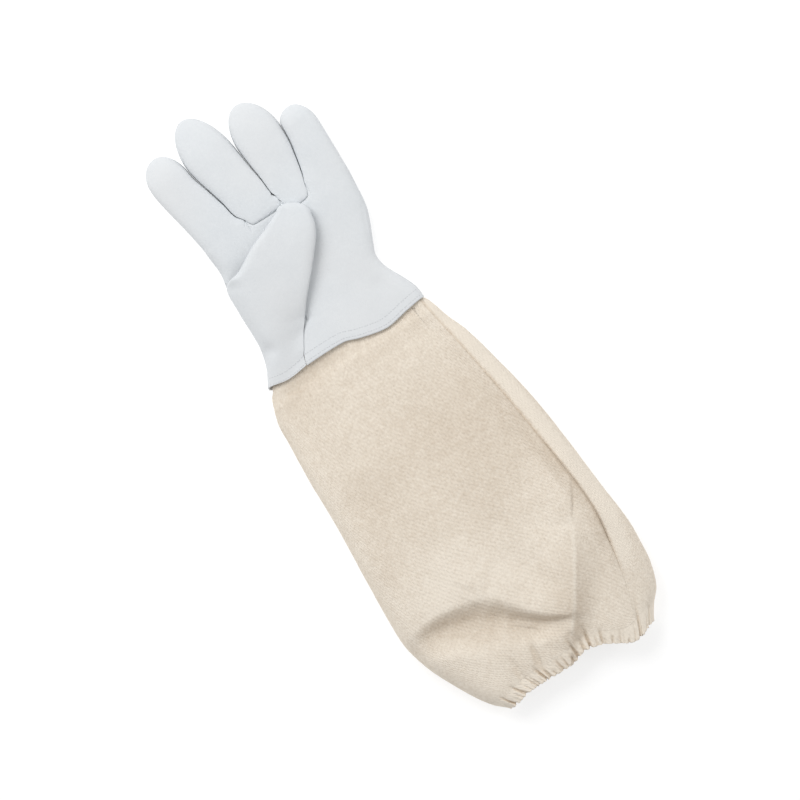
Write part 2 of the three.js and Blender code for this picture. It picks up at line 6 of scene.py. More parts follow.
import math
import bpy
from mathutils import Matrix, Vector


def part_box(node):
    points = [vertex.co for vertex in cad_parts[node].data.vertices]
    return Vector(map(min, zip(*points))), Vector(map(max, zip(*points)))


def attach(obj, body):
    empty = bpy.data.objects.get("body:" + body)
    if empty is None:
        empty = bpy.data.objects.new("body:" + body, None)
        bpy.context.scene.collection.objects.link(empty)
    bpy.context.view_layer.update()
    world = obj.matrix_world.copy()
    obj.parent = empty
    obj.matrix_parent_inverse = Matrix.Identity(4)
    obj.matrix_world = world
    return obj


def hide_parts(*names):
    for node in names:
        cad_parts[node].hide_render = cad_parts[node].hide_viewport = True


bl_info = {
    "name": "Beekeeping Glove",
    "version": (1, 0, 0),
    "blender": (4, 5, 0),
    "location": "View3D > Sidebar > Glove",
    "description": "Makes the leather hand, canvas sleeve, gathered cuff and stitches of a beekeeping glove",
    "category": "Mesh",
}

import bmesh
import bpy
from mathutils import Matrix, Vector, noise
from mathutils.bvhtree import BVHTree

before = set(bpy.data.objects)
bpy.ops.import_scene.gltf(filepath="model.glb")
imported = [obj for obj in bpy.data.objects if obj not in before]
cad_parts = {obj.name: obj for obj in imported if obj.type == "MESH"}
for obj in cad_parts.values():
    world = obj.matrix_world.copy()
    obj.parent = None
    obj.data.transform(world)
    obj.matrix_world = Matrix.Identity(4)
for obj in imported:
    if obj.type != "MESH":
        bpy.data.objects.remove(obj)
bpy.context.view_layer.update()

MM = 0.001
CUFF_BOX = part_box("elastic_cuff")
MIDDLE_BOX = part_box("middle_finger_front")

# Sizes in millimetres that every piece shares; the glove's two ends come from the frame
HAND_LENGTH = 112.0
MIDDLE_LENGTH = 92.5
TIP = MIDDLE_BOX[1][1] / MM
CUFF_END = CUFF_BOX[0][1] / MM
CROTCH_LINE = TIP - MIDDLE_LENGTH
HEM_LINE = CROTCH_LINE - HAND_LENGTH
SLEEVE_LENGTH = HEM_LINE - CUFF_END
CLEARANCE = 0.3
PALM_WIDTH = 124.0
SLEEVE_WIDTH = 190.0
SEAM_HEIGHT = 7.5
LOWER_EDGE = SEAM_HEIGHT - CLEARANCE / 2
UPPER_EDGE = SEAM_HEIGHT + CLEARANCE / 2
PALM_TOP = 14.5
FINGER_TOP = 16.0
WRIST_TOP = 17.0
SLEEVE_TOP = 29.0
THUMB_HEIGHT = 11.0
THUMB_LIFT = 0.5
CASING = 11.0
HEM_LAP = 12.0
SEAM_LAP = 9.0
THUMB_BED = PALM_TOP + 1.5 + THUMB_LIFT
THUMB_SEAM = THUMB_BED + THUMB_HEIGHT / 2
BACK_ROLL = 13.0
THUMB_SIDE_ROLL = 14.0
LITTLE_SIDE_ROLL = 12.0
SLEEVE_UNDER_ROLL = 14.0
BASE_GAP = 0.12
BASE_SEAM_DEPTH = 0.8
BASE_SEAM_WIDTH = 1.1
STITCH_ROWS = (2.6, 7.6)

# The grid of one finger's strip of leather and its flat width in metres
STRIP_COLUMNS = 30
HAND_ROWS = 100
FINGER_ROWS = 70
STRIP_WIDTH = 0.03

# Places as shares: the cuff's lower edge along the sleeve, heel and crotch along the thumb, the top of its
# hidden seam up the hand, then in palm widths its rounded end and the ends of the stitching
CUFF_LINE = 0.9615
THUMB_HEEL = 0.20
THUMB_CROTCH = 0.54
THUMB_SEAM_TOP = 0.735
THUMB_CAP = 0.062
STITCH_ENDS = (-0.60, 0.455)

# Outline of the hand from hem to crotches: along, then left edge, right edge, thumb seam and its height
HAND_OUTLINE = (
    (0.00, -0.612, 0.470, -0.338, 1.17),
    (0.08, -0.578, 0.461, -0.318, 1.13),
    (0.18, -0.543, 0.423, -0.278, 1.05),
    (0.29, -0.519, 0.376, -0.200, 1.00),
    (0.38, -0.514, 0.364, -0.232, 0.98),
    (0.46, -0.511, 0.390, -0.300, 0.95),
    (0.56, -0.510, 0.432, -0.380, 0.88),
    (0.66, -0.505, 0.468, -0.450, 0.74),
    (0.74, -0.492, 0.484, -0.486, 0.58),
    (0.84, -0.476, 0.494, -0.474, 0.52),
    (1.00, -0.484, 0.506, -0.484, 0.52),
)
LEFT, RIGHT, THUMB_LINE, THUMB_LINE_TOP = range(1, 5)

# Lines between the fingers above the crotches: along, then the five lines across the palm
FINGER_LINES = (
    (0.00, -0.484, -0.181, 0.060, 0.238, 0.506),
    (0.10, -0.492, -0.217, 0.041, 0.257, 0.509),
    (0.25, -0.510, -0.237, 0.034, 0.281, 0.513),
    (0.40, -0.532, -0.265, 0.021, 0.302, 0.516),
    (0.55, -0.552, -0.296, 0.012, 0.308, 0.517),
    (0.65, -0.559, -0.306, 0.010, 0.308, 0.516),
    (1.00, -0.559, -0.310, 0.008, 0.306, 0.516),
)

# Each finger: length, tip across the palm, where its left and right sides round off, dip of its base seam
FINGERS = (
    (80.0, -0.436, 0.76, 0.71, 0.000),
    (92.5, -0.174, 0.66, 0.50, 0.018),
    (80.4, 0.147, 0.63, 0.63, 0.062),
    (58.8, 0.406, 0.83, 0.66, 0.000),
)
LENGTH, TIP_ACROSS, ROUND_LEFT, ROUND_RIGHT, DIP = range(5)
INSET_FINGERS = (1, 2)

# Powers of the half arches over the fingers' fronts and backs; a higher one is squarer
FRONT_CROWN = 3.6
BACK_CROWN = 3

# How far the palm's leather reaches up between two fingers and its width there, in millimetres, from the left
WEBS = ((0.0, 1.0), (5.0, 4.4), (5.0, 2.2), (4.2, 3.6), (0.0, 1.0))

# Thumb sections: along, left edge across and up, right edge across and up, how free it is, its arch
THUMB_SECTIONS = (
    (0.00, -0.612, 0.015, -0.340, 0.012, 0.00, 0.00),
    (0.06, -0.585, 0.070, -0.321, 0.080, 0.00, 0.10),
    (0.18, -0.528, 0.220, -0.262, 0.205, 0.00, 0.34),
    (0.30, -0.515, 0.370, -0.196, 0.290, 0.28, 0.56),
    (0.42, -0.511, 0.560, -0.113, 0.400, 0.80, 0.74),
    (0.54, -0.492, 0.735, -0.024, 0.505, 1.00, 0.86),
    (0.66, -0.372, 0.782, 0.060, 0.610, 1.00, 0.94),
    (0.78, -0.236, 0.864, 0.121, 0.692, 1.00, 0.98),
    (0.90, -0.100, 0.924, 0.161, 0.770, 1.00, 0.97),
    (1.00, 0.002, 0.974, 0.175, 0.840, 1.00, 0.90),
)
LEFT_ACROSS, LEFT_UP, RIGHT_ACROSS, RIGHT_UP, FREE, ARCH = range(1, 7)

# The leather's wavy hem on the palm side: across the palm, rise in hand lengths
HEM_WAVE = (
    (-0.62, 0.020),
    (-0.48, -0.006),
    (-0.35, 0.008),
    (-0.33, 0.018),
    (-0.08, 0.014),
    (0.01, -0.020),
    (0.13, -0.054),
    (0.20, -0.062),
    (0.34, -0.036),
    (0.47, -0.020),
)

# Sleeve sections from the hem to the cuff: along, left edge, right edge, height
SLEEVE_SECTIONS = (
    (-0.05, -0.360, 0.283, 0.52),
    (0.00, -0.399, 0.304, 0.54),
    (0.04, -0.424, 0.326, 0.58),
    (0.08, -0.443, 0.344, 0.60),
    (0.13, -0.448, 0.375, 0.64),
    (0.24, -0.461, 0.415, 0.72),
    (0.36, -0.467, 0.450, 0.82),
    (0.50, -0.484, 0.472, 0.92),
    (0.63, -0.498, 0.486, 1.00),
    (0.70, -0.500, 0.496, 1.00),
    (0.75, -0.485, 0.500, 0.98),
    (0.80, -0.459, 0.495, 0.95),
    (0.85, -0.420, 0.485, 0.91),
    (0.90, -0.373, 0.452, 0.86),
    (0.93, -0.337, 0.405, 0.83),
    (0.97, -0.281, 0.370, 0.80),
)

# Lower edge of the cuff: across the sleeve, drop in casing widths
CUFF_EDGE = (
    (-0.281, 0.36),
    (-0.18, 0.02),
    (0.02, 0.05),
    (0.08, -0.25),
    (0.16, 0.10),
    (0.24, 0.90),
    (0.28, 1.05),
    (0.37, 0.64),
)

# The sleeve's lapped side seam: along, across the sleeve
SEAM_LINE = (
    (-0.05, 0.286),
    (0.01, 0.286),
    (0.14, 0.318),
    (0.30, 0.355),
    (0.50, 0.390),
    (0.65, 0.407),
    (0.75, 0.390),
    (0.85, 0.360),
    (0.97, 0.300),
)

# Folds of the sleeve's upper side, as bent lines in sleeve widths and lengths. Each has a height and, on the
# left and right of its line, a width at either end, all in millimetres, and may fall off at once to its left
SLEEVE_FOLDS = (
    ((-0.450, 0.722), (-0.260, 0.710), (-0.120, 0.790), -7.6, (11, 20), (18, 34), False),
    ((-0.150, 0.735), (-0.060, 0.830), (0.100, 0.866), -5.0, (13, 4), (30, 10), False),
    ((-0.130, 0.700), (-0.020, 0.800), (0.107, 0.852), 3.6, (36, 20), (16, 4.5), False),
    ((0.307, 0.672), (0.168, 0.824), (0.039, 0.932), 9.0, (28, 12), (46, 24), True),
    ((0.381, 0.496), (0.344, 0.589), (0.280, 0.710), 2.6, (24, 24), (26, 24), False),
    ((-0.380, 0.060), (-0.250, 0.020), (-0.120, 0.030), -1.8, (12, 12), (12, 12), False),
    ((-0.080, 0.866), (-0.087, 0.902), (-0.103, 0.939), -2.4, (2, 3), (3, 6), False),
    ((-0.177, 0.869), (-0.180, 0.902), (-0.182, 0.939), -1.6, (3, 4), (3, 5), False),
    ((0.128, 0.860), (0.115, 0.902), (0.102, 0.942), -2.2, (3, 5), (4, 6), False),
    ((0.065, 0.892), (0.070, 0.919), (0.076, 0.945), -1.8, (3, 4), (3, 4), False),
)

# The cuff's deepest gathers on its upper side: place across the cuff, then reach and depth in millimetres
GATHERS = (
    (0.050, 11, 2.2),
    (0.129, 12, 2.0),
    (0.209, 9, 1.4),
    (0.280, 13, 2.2),
    (0.304, 9, 1.8),
    (0.391, 10, 1.5),
    (0.470, 8, 1.4),
    (0.502, 17, 2.2),
    (0.557, 10, 1.5),
    (0.597, 18, 2.0),
    (0.668, 13, 1.6),
    (0.760, 10, 1.0),
    (0.875, 18, 1.5),
    (0.954, 13, 1.5),
)

# Fine lines in the leather of the palm, across in palm widths and up in hand lengths, with depth and width
PALM_LINES = (
    ((0.459, 0.714), (0.417, 0.620), (0.371, 0.465), 0.5, 1.0),
    ((-0.186, 0.345), (-0.205, 0.300), (-0.188, 0.258), 1.5, 0.9),
)

# Soft dents of the palm and the thumb's root, placed in the same way, with radius and depth
PALM_HOLLOWS = (
    ((-0.185, 0.285), 4.5, 1.3),
    ((0.285, 0.204), 7.0, 0.9),
    ((0.060, 0.440), 8.0, 0.6),
)
THUMB_HOLLOW = ((-0.480, 0.232), 5.5, 1.9)


def mix(a, b, share):
    return a + (b - a) * share


def clamp(value, low=0.0, high=1.0):
    return max(low, min(high, value))


def smoothstep(value, low, high):
    share = clamp((value - low) / (high - low))
    return share * share * (3 - 2 * share)


def read(table, column, at):
    """A column of a table on a smooth curve through its rows, whose first value is the place."""
    last = len(table) - 1
    i = 0
    while i < last - 1 and at > table[i + 1][0]:
        i += 1
    span = table[i + 1][0] - table[i][0]
    t = clamp((at - table[i][0]) / span)

    def slope(k):
        if k in (0, last):
            return 0.0
        return (table[k + 1][column] - table[k - 1][column]) / (table[k + 1][0] - table[k - 1][0])

    t2, t3 = t * t, t * t * t
    return (
        table[i][column] * (2 * t3 - 3 * t2 + 1)
        + slope(i) * span * (t3 - 2 * t2 + t)
        + table[i + 1][column] * (3 * t2 - 2 * t3)
        + slope(i + 1) * span * (t3 - t2)
    )


def roll(distance, width, power=2.2):
    """A rounded shoulder: 0 at an edge, 1 once the distance from it reaches the width."""
    share = 1 - clamp(distance / width)
    return (1 - share**power) ** (1 / power)


def arch(share, power):
    """A half arch over a strip: 0 at both sides, 1 along the middle."""
    return max(0.0, 1 - abs(2 * share - 1) ** power) ** (1 / power)


def spread(share):
    """Columns, closer together near the sides."""
    return mix(share, (1 - math.cos(math.pi * share)) / 2, 0.75)


def unspread(across):
    """The column share that spread() turns into a share of the width."""
    low, high = 0.0, 1.0
    for _ in range(30):
        middle = (low + high) / 2
        if spread(middle) < across:
            low = middle
        else:
            high = middle
    return (low + high) / 2


def rumple(x, y, scale, seed=0.0):
    """Smooth uneven height, about -1 to 1, over features of one size in millimetres."""
    return noise.noise(Vector((x / scale + seed, y / scale - seed, seed * 1.7)))


def bent_line(start, bend, end, count=12):
    """Points on a curve from start by way of bend to end."""
    points = []
    for i in range(count + 1):
        t = i / count
        across = (1 - t) ** 2 * start[0] + 2 * t * (1 - t) * bend[0] + t * t * end[0]
        along = (1 - t) ** 2 * start[1] + 2 * t * (1 - t) * bend[1] + t * t * end[1]
        points.append(Vector((across, along)))
    return points


def nearest_on(line, here):
    """Distance from a line of points, place along it from 0 to 1, and 1 on its left or -1 on its right."""
    count = len(line) - 1
    nearest, place, side = 1e9, 0.0, 1
    for i in range(count):
        run = line[i + 1] - line[i]
        t = clamp((here - line[i]).dot(run) / run.length_squared)
        off = here - (line[i] + run * t)
        if off.length < nearest:
            nearest, place = off.length, (i + t) / count
            side = 1 if run.x * off.y - run.y * off.x > 0 else -1
    return nearest, place, side


def line_of(points, wide, long, origin):
    """A bent line in millimetres, from shares of a width and a length."""
    return bent_line(*((across * wide, origin + along * long) for across, along in points))


# Where the soft light comes from, for the cloth's warmer shaded side
LIGHT = Vector((-0.135, 0.633, 0.763))

FOLD_LINES = [(line_of(fold[:3], SLEEVE_WIDTH, -SLEEVE_LENGTH, 0), *fold[3:]) for fold in SLEEVE_FOLDS]
LEATHER_LINES = [(line_of(row[:3], PALM_WIDTH, HAND_LENGTH, HEM_LINE), *row[3:]) for row in PALM_LINES]


# Leather hand


def hem_rise(x):
    """How far the palm's hem lies above its line."""
    return HAND_LENGTH * read(HEM_WAVE, 1, x / PALM_WIDTH)


def base_dip(finger, share):
    """How far a finger's base line lies below the crotches, or above them in a web."""
    width = PALM_WIDTH * (strip_side(finger + 1) - strip_side(finger))
    dip = HAND_LENGTH * FINGERS[finger][DIP] * arch(share, 2.4)
    for (rise, reach), off in ((WEBS[finger], share), (WEBS[finger + 1], 1 - share)):
        dip -= rise * max(0.0, 1 - off * width / reach) ** 1.6
    return dip


def side_height(strip, share, along):
    """Height of a finger's side edges, which the webs keep up near the crotches."""
    web = mix(FINGER_TOP - 3.0, UPPER_EDGE, smoothstep(along, 0.0, 0.55))
    left = UPPER_EDGE if strip == 0 else web
    right = UPPER_EDGE if strip == len(FINGERS) - 1 else web
    return mix(left, right, smoothstep(share, 0.3, 0.7))


def finger_gap(side, along):
    """Half the gap at a line between fingers; the middle one has a small hole at its base."""
    if side in (0, 4):
        return 0.0
    opened = 0.05 + 0.12 * smoothstep(along, 0.22, 0.42) + 0.2 * smoothstep(along, 0.44, 0.56)
    if side == 2:
        opened += 0.1 * smoothstep(along, 0.2, 0.35) + 0.8 * math.exp(-(((along - 0.080) / 0.016) ** 2))
    return min(1.0, along * 12) * opened


def strip_side(k):
    """Share of the palm's width at one of the five lines between the fingers."""
    first, last = FINGER_LINES[0][1], FINGER_LINES[0][5]
    return (FINGER_LINES[0][k + 1] - first) / (last - first)


def palm_wrinkles(x, y):
    """The leather's own unevenness, softer on the palm than at the wrist."""
    return 0.45 * rumple(x, y, 34, 3.1) + 0.14 * rumple(x, y, 11, 5.7)


def hollow(x, y, spot, radius, depth):
    """A small round dent; the spot is across in palm widths and up in hand lengths."""
    dx = x - spot[0] * PALM_WIDTH
    dy = y - HEM_LINE - spot[1] * HAND_LENGTH
    return -depth * math.exp(-(dx * dx + dy * dy) / radius**2)


def palm_lines(x, y):
    """Depth of the fine lines in the palm's leather."""
    total = 0.0
    for line, depth, width in LEATHER_LINES:
        distance, place, _ = nearest_on(line, Vector((x, y)))
        if distance < 3 * width:
            fade = math.sin(math.pi * (0.1 + 0.8 * place)) ** 0.5
            total -= depth * fade * math.exp(-((distance / width) ** 2))
    return total


def hand_place(side, strip, share, along):
    """The hand's left and right edges, and a strip's point across its own width and across the glove."""
    left = PALM_WIDTH * read(HAND_OUTLINE, side, along)
    right = PALM_WIDTH * read(HAND_OUTLINE, RIGHT, along)
    if side == THUMB_LINE:
        left += CLEARANCE * smoothstep(0.8 - along, 0, 0.06) * smoothstep(along, 0.03, 0.12)
    across = spread(share)
    return left, right, across, mix(left, right, mix(strip_side(strip), strip_side(strip + 1), across))


def scallop(along):
    """How far the even side of the hand has turned into the rounded fingers."""
    return smoothstep(along, 0.87, 1) ** 2


def hem_fade(along):
    return 1 - smoothstep(along, 0, 0.25)


def back_point(strip, share, along):
    """A point of the back of the hand between its hem and the finger crotches."""
    left, right, across, x = hand_place(LEFT, strip, share, along)
    rolled = roll(x - left, BACK_ROLL) * roll(right - x, BACK_ROLL)
    y = HEM_LINE + HAND_LENGTH * along + max(0.0, hem_rise(x)) * (1 - rolled) * hem_fade(along)
    cupped = min(1.0, 1.06 * arch(across, BACK_CROWN))
    under = min(1.0, 1.04 * mix(rolled, cupped, scallop(along)))
    return Vector((x, y, LOWER_EDGE * (1 - under)))


def palm_point(strip, share, along):
    """A point of the palm between its hem and the finger crotches."""
    left, right, across, x = hand_place(THUMB_LINE, strip, share, along)
    y = HEM_LINE + HAND_LENGTH * along + hem_rise(x) * hem_fade(along) - base_dip(strip, across) * along**6
    top = mix(WRIST_TOP, PALM_TOP, smoothstep(along, 0, 0.35)) + 1.5 * smoothstep(along, 0.6, 0.9)
    left_edge = max(UPPER_EDGE, PALM_TOP * read(HAND_OUTLINE, THUMB_LINE_TOP, along))
    shoulder = mix(left_edge, top, roll(x - left, THUMB_SIDE_ROLL))
    rolled = mix(UPPER_EDGE, shoulder, roll(right - x, LITTLE_SIDE_ROLL, 2.6))
    crown = arch(across, FRONT_CROWN)
    cupped = mix(side_height(strip, across, 0), FINGER_TOP, crown)
    z = mix(rolled, cupped, scallop(along))
    z += palm_wrinkles(x, y) * mix(roll(right - x, LITTLE_SIDE_ROLL), 1.2 * crown, scallop(along))
    z += palm_lines(x, y) + sum(hollow(x, y, *dent) for dent in PALM_HOLLOWS)
    return Vector((x, y, z - base_seam(strip, across, (1 - along) * HAND_LENGTH)))


def base_seam(strip, across, distance):
    """How far the leather sinks beside the seam at the base of the two inset fingers."""
    if strip not in INSET_FINGERS:
        return 0.0
    return BASE_SEAM_DEPTH * arch(across, BACK_CROWN) * math.exp(-((distance / BASE_SEAM_WIDTH) ** 2))


def taper(along, start):
    share = clamp((along - start) / (1 - start))
    return math.sqrt(1 - share * share)


def finger_place(strip, share, along, apart):
    """A finger's point across its own width, across the glove and along it, and how full the finger is."""
    length, tip, round_left, round_right, _ = FINGERS[strip]
    at = length * along / MIDDLE_LENGTH
    sides = []
    for line, rounding, gap in ((strip, round_left, apart), (strip + 1, round_right, -apart)):
        side = PALM_WIDTH * read(FINGER_LINES, line + 1, at) + gap * finger_gap(line, at)
        sides.append(mix(PALM_WIDTH * tip, side, taper(along, rounding)))
    across = spread(share)
    height = taper(along, max(round_left, round_right) * 0.9)
    return across, mix(*sides, across), CROTCH_LINE + length * along, height


def finger_back_point(strip, share, along):
    """A point of a finger's back, whose slits are narrower than the front's."""
    across, x, y, height = finger_place(strip, share, along, 0.25)
    cupped = min(1.0, 1.06 * arch(across, BACK_CROWN))
    return Vector((x, y, LOWER_EDGE * (1 - cupped * height)))


def finger_front_point(strip, share, along):
    """A point of a finger's front."""
    across, x, y, height = finger_place(strip, share, along, 1.0)
    edge = side_height(strip, across, along)
    crown = arch(across, FRONT_CROWN)
    z = mix(edge, mix(edge, FINGER_TOP, crown), height)
    z += crown * height * palm_wrinkles(x, y) * 1.2
    z -= base_seam(strip, across, along * FINGERS[strip][LENGTH])
    return Vector((x, y - base_dip(strip, across) * (1 - along) ** 6, z))


def finger_station(strip, share):
    """Place along a finger of an even row share, closer together over the tip."""
    start = min(FINGERS[strip][ROUND_LEFT], FINGERS[strip][ROUND_RIGHT])
    if share <= start:
        return share
    return mix(start, 1.0, math.sin((share - start) / (1 - start) * math.pi / 2))


# Thumb


def thumb_span(station):
    """The thumb's two edges, its freedom, arch and height at a station; past 1 it rounds to its tip."""
    along = min(station, 1.0)
    left, right = (
        Vector((
            PALM_WIDTH * read(THUMB_SECTIONS, across, along),
            HEM_LINE + HAND_LENGTH * read(THUMB_SECTIONS, up, along),
            0,
        ))
        for across, up in ((LEFT_ACROSS, LEFT_UP), (RIGHT_ACROSS, RIGHT_UP))
    )
    free = clamp(read(THUMB_SECTIONS, FREE, along))
    crown = read(THUMB_SECTIONS, ARCH, along)
    if station <= 1:
        return left, right, free, crown, 1.0
    angle = (station - 1) * math.pi / 2
    middle = (left + right) / 2
    half = right - middle
    middle += Vector((-half.y, half.x, 0)).normalized() * PALM_WIDTH * THUMB_CAP * math.sin(angle)
    half *= math.cos(angle)
    return middle - half, middle + half, free, crown, math.cos(angle)


def thumb_free(station):
    """How far the thumb's left side has left the hand."""
    return smoothstep(station, THUMB_CROTCH - 0.02, THUMB_CROTCH + 0.06)


def thumb_station(share, start):
    """Even rows from a first station, with an eighth of them in the thumb's rounded end."""
    body = 0.88
    return mix(start, 1.0, share / body) if share < body else 1 + (share - body) / (1 - body)


def palm_edge(station):
    """Height of the palm along the thumb's right seam."""
    right = thumb_span(min(station, 1.0))[1]
    up = (right.y - HEM_LINE) / HAND_LENGTH
    wrist = mix(WRIST_TOP, PALM_TOP, smoothstep(up, 0, 0.35))
    return min(wrist, PALM_TOP * read(HAND_OUTLINE, THUMB_LINE_TOP, up) + smoothstep(up, 0.04, 0.16))


def thumb_right_height(station):
    """Height of the thumb's right seam, which leaves the palm at the heel and ends free above it."""
    free = thumb_span(station)[2]
    return mix(palm_edge(station), THUMB_SEAM + CLEARANCE / 2, free)


def thumb_upper_point(station, share):
    """A point of the thumb's upper side and of the panel below it."""
    left, right, free, crown, height = thumb_span(station)
    across = spread(share)
    lap = 0.9 * (1 - smoothstep(station, 0.24, 0.32)) * smoothstep(station, 0.04, 0.10)
    right = right + Vector((lap, 0, 0))
    point = left.lerp(right, across)
    if station < THUMB_CROTCH:
        point.y += hem_rise(point.x) * (1 - smoothstep(station, 0, 0.2))
    left_edge = mix(SEAM_HEIGHT, THUMB_SEAM, thumb_free(station)) + CLEARANCE / 2
    right_edge = thumb_right_height(station) + lap
    top = mix(WRIST_TOP, THUMB_BED + THUMB_HEIGHT, crown)
    left_roll = roll(across, mix(0.3, 0.16, thumb_free(station)))
    panel = mix(left_edge, mix(top, right_edge, smoothstep(across, 0.35, 1)), left_roll)
    thumb = mix(mix(left_edge, right_edge, across), top, left_roll * roll(1 - across, 0.16) * height)
    point.z = mix(panel, thumb, free) + palm_wrinkles(point.x, point.y) * left_roll * height
    point.z += hollow(point.x, point.y, *THUMB_HOLLOW)
    return point


def thumb_under_point(station, share):
    """A point of the thumb's lower side, which leaves the palm's edge at the crotch."""
    left, right, _, _, height = thumb_span(station)
    seat = PALM_TOP
    if station < THUMB_CROTCH:
        up = clamp((station - THUMB_HEEL) / (THUMB_CROTCH - THUMB_HEEL))
        left = palm_point(0, 0, mix(THUMB_HEEL + 0.02, THUMB_SEAM_TOP, up))
        seat, left.z = left.z, 0
    near_crotch = smoothstep(station, 0.42, THUMB_CROTCH) * (
        1 - smoothstep(station, THUMB_CROTCH + 0.07, THUMB_CROTCH + 0.17)
    )
    wall = glove().leather_wall / MM
    run = right - left
    left = left + run.normalized() * min(0.5 * run.length, mix(wall, 9 * wall, near_crotch))
    across = spread(share)
    point = left.lerp(right, across)
    free = thumb_free(station)
    edge = thumb_right_height(station) - CLEARANCE
    seated = 1 - smoothstep(station, 0.42, 0.52)
    left_edge = mix(mix(THUMB_BED + wall, seat + 0.2, seated), edge, free)
    rise = mix(roll(1 - across, 0.3) * mix(1, roll(across, 0.25), seated), arch(across, 2.6), free)
    point.z = mix(mix(left_edge, edge, across), min(THUMB_BED, edge), rise * height)
    return point


# Canvas sleeve and cuff


def fold_side(distance, width, crisp):
    """How a fold falls off to one side: at once from a crisp edge, or over a soft round one."""
    share = min(1.0, distance / width)
    return (1 - share) ** 2 if crisp else (1 - share * share) ** 2


def fold_lift(x, along):
    """Height that the sleeve's folds add at a place on its upper side."""
    here = Vector((x, -along * SLEEVE_LENGTH))
    total = 0.0
    for line, height, left, right, crisp in FOLD_LINES:
        distance, place, side = nearest_on(line, here)
        width = mix(*(left if side > 0 else right), place)
        if distance < width:
            fade = math.sin(math.pi * (0.04 + place * 0.92)) ** 0.6
            total += height * fade * fold_side(distance, width, crisp and side > 0)
    return total


def sleeve_sides(along):
    return [SLEEVE_WIDTH * read(SLEEVE_SECTIONS, column, along) for column in (1, 2)]


def cuff_drop(x):
    """How far the cuff's wavy lower edge lies below its line."""
    return CASING * read(CUFF_EDGE, 1, x / SLEEVE_WIDTH)


def gather(x, above, upper):
    """Depth of the cuff's gathers, which fan out upwards from its edge, in millimetres."""
    if above > 26:
        return 0.0
    left, right = sleeve_sides(CUFF_LINE)
    width = (right - left) * (1 + 0.012 * max(0.0, above))
    across = 0.5 + (x - (left + right) / 2) / width
    total = 0.0
    if upper:
        for place, reach, depth in GATHERS:
            off = (across - place) * width / 0.85
            if abs(off) < 3:
                total += depth * (1 - smoothstep(above, reach * 0.4, reach * 1.4)) * math.exp(-off * off)
    count = glove().pleats
    first = int(across * count) - 2
    for i in range(first, first + 5):
        place = (i + 0.5 + 0.3 * math.sin(2.1 * i * i)) / count
        off = (across - place) * width / 0.65
        if abs(off) < 3:
            reach = 9 + 4 * math.sin(2.7 * i + 1)
            depth = 0.8 + 0.4 * math.sin(1.9 * i + 0.5)
            total += depth * (1 - smoothstep(above, reach * 0.3, reach)) * math.exp(-off * off)
    return total * glove().pleat_depth / MM


def sleeve_point(turn, along):
    """A point round the sleeve: turn 0 is its left edge, 0.5 its right edge, over the top first."""
    left, right = sleeve_sides(along)
    height = SLEEVE_TOP * read(SLEEVE_SECTIONS, 3, along)
    inside = glove().leather_wall / MM + 2 * CLEARANCE
    side_inset = inside * (1 - smoothstep(along, 0.006, 0.014))
    left += side_inset
    right -= side_inset
    upper = turn <= 0.5
    across = spread(turn * 2 if upper else (1 - turn) * 2)
    x = mix(left, right, across)
    seam = min(SEAM_HEIGHT * 1.2, height * 0.45)
    above = (CUFF_LINE - along) * SLEEVE_LENGTH
    depth = gather(x, above, upper)
    y = HEM_LINE - SLEEVE_LENGTH * along - cuff_drop(x) * smoothstep(along, 0.8, CUFF_LINE)
    y += mix(0.6, 0.2, smoothstep(above, 0, 5)) * depth
    if not upper:
        under = roll(x - left, SLEEVE_UNDER_ROLL) * roll(right - x, SLEEVE_UNDER_ROLL)
        lifted = inside * (1 - smoothstep(along, 0.002, 0.02)) + depth
        return Vector((x, y, mix(seam, lifted, min(1.0, 1.03 * under))))
    roll_width = mix(13, 20, smoothstep(along, 0, 0.5))
    rolled = roll(x - left, roll_width, 2.6) * roll(right - x, roll_width, 2.6)
    top = height - inside * (1 - smoothstep(along, 0.026, 0.045)) + fold_lift(x, along) - depth
    top += 0.9 * rumple(x, y, 46, 8.3) + 0.35 * rumple(x, y, 17, 2.2)
    return Vector((x, y, mix(seam, top, rolled)))


# Settings


def metres(name, description, value):
    return bpy.props.FloatProperty(name=name, description=description, default=value, unit="LENGTH")


def tint(name, description, value):
    return bpy.props.FloatVectorProperty(name=name, description=description, default=value, subtype="COLOR")


class GloveSettings(bpy.types.PropertyGroup):
    """Sizes and colours of the glove that can be changed."""

    leather_wall: metres("Leather", "Thickness of the leather", 0.0012)
    canvas_wall: metres("Canvas", "Thickness of the sleeve's canvas", 0.001)
    cuff_wall: metres("Cuff band", "Thickness of the doubled band", 0.0024)
    pleats: bpy.props.IntProperty(
        name="Pleats", description="Fine gathers across one side of the cuff", default=34
    )
    pleat_depth: metres("Pleat depth", "Depth of one full gather at the cuff", 0.0011)
    stitch_pitch: metres("Stitch pitch", "Distance between the hem's stitches", 0.004)
    leather_colour: tint("Leather", "Colour of the leather", (0.770, 0.795, 0.815))
    leather_shade: tint("Leather shade", "Colour of its darker patches", (0.660, 0.695, 0.725))
    leather_warm: tint("Leather warmth", "Colour of its warmer patches", (0.775, 0.780, 0.785))
    canvas_colour: tint("Canvas", "Colour of the sleeve", (0.895, 0.812, 0.700))
    # This darker colour serves both the weave's own gaps and the painted shade in the cloth's folds, gathers
    # and seam
    canvas_weave_and_shade: tint("Canvas shade", "Colour of its threads' gaps and creases", (0.640, 0.535, 0.420))
    thread_colour: tint("Thread", "Colour of the stitching thread", (0.780, 0.800, 0.815))


def glove():
    return bpy.context.scene.glove


# Shader maths


class Socket:
    """A shader socket whose operators add Math nodes."""

    def __init__(self, tree, output):
        self.tree = tree
        self.output = output

    def maths(self, operation, other):
        return node(self.tree, "ShaderNodeMath", {"operation": operation}, {0: self, 1: other})

    def __add__(self, other):
        return self.maths("ADD", other)

    def __sub__(self, other):
        return self.maths("SUBTRACT", other)

    def __mul__(self, other):
        return self.maths("MULTIPLY", other)


